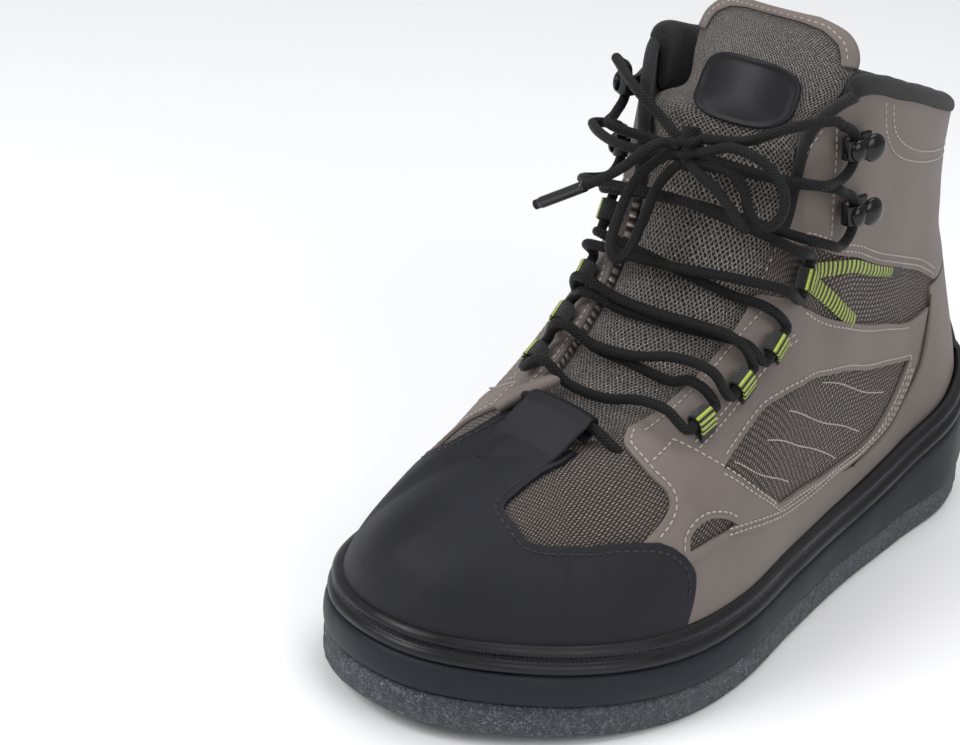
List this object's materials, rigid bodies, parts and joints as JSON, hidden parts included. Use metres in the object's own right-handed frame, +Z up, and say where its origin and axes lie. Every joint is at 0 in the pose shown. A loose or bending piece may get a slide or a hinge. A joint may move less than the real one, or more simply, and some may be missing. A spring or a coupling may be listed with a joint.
{
  "type": "wading boot",
  "caption": "Ankle-high laced wading boot for the left foot, with a thick felt sole, black rubber rand and toe cap, mesh windows and a padded tongue",
  "frame": {"origin": "on the floor under the middle of the heel's rest face", "axes": "+Z up, toe towards -Y, outer side of the left foot +X"},
  "size_m": [0.1265, 0.305, 0.1994],
  "materials": {
    "felt": "coarse pressed felt",
    "midsole_foam": "satin",
    "rubber": "satin, fine serration",
    "lining": "matt cloth",
    "mesh": "open mesh",
    "knit": "two-tone spacer knit",
    "taupe_skin": "matt nubuck-like coated synthetic",
    "cap_skin": "dark navy rubbery synthetic, satin",
    "cuff_cloth": "padded black binding cloth",
    "patch": "satin moulded rubber, bare",
    "webbing": "black webbing with yellow-green stripes",
    "hook_plastic": "glossy black",
    "eyelet_metal": "gunmetal",
    "lace_cord": "round braided cord"
  },
  "bodies": {
    "root": {"outsole_felt": "felt", "midsole": "midsole_foam", "rand": "rubber", "insole": "lining", "upper": "mesh", "tongue": "knit", "toe_cap": "cap_skin", "quarter_outer": "taupe_skin", "quarter_inner": "taupe_skin", "heel_panel": "taupe_skin", "shaft_panel": "taupe_skin", "heel_counter": "cap_skin", "collar_cuff": "cuff_cloth", "tongue_patch": "patch", "tongue_trim": "taupe_skin", "piping_outer": "taupe_skin", "piping_inner": "taupe_skin", "heel_pull": "webbing", "lace_keeper": "cap_skin", "ankle_strap_outer": "webbing", "ankle_strap_inner": "webbing", "drain_eyelet_1": "eyelet_metal", "drain_eyelet_2": "eyelet_metal", "loop_low_outer": "webbing", "loop_mid_outer": "webbing", "loop_high_outer": "webbing", "ankle_loop_outer": "webbing", "hook_low_outer": "hook_plastic", "hook_high_outer": "hook_plastic", "loop_low_inner": "webbing", "loop_mid_inner": "webbing", "loop_high_inner": "webbing", "ankle_loop_inner": "webbing", "hook_low_inner": "hook_plastic", "hook_high_inner": "hook_plastic", "lace_crossings": "lace_cord", "lace_knot": "lace_cord", "lace_tie_outer": "lace_cord", "lace_tie_inner": "lace_cord", "lace_loop_outer": "lace_cord", "lace_loop_inner": "lace_cord", "lace_end_inner": "lace_cord", "lace_end_outer": "lace_cord"}
  },
  "joints": []
}
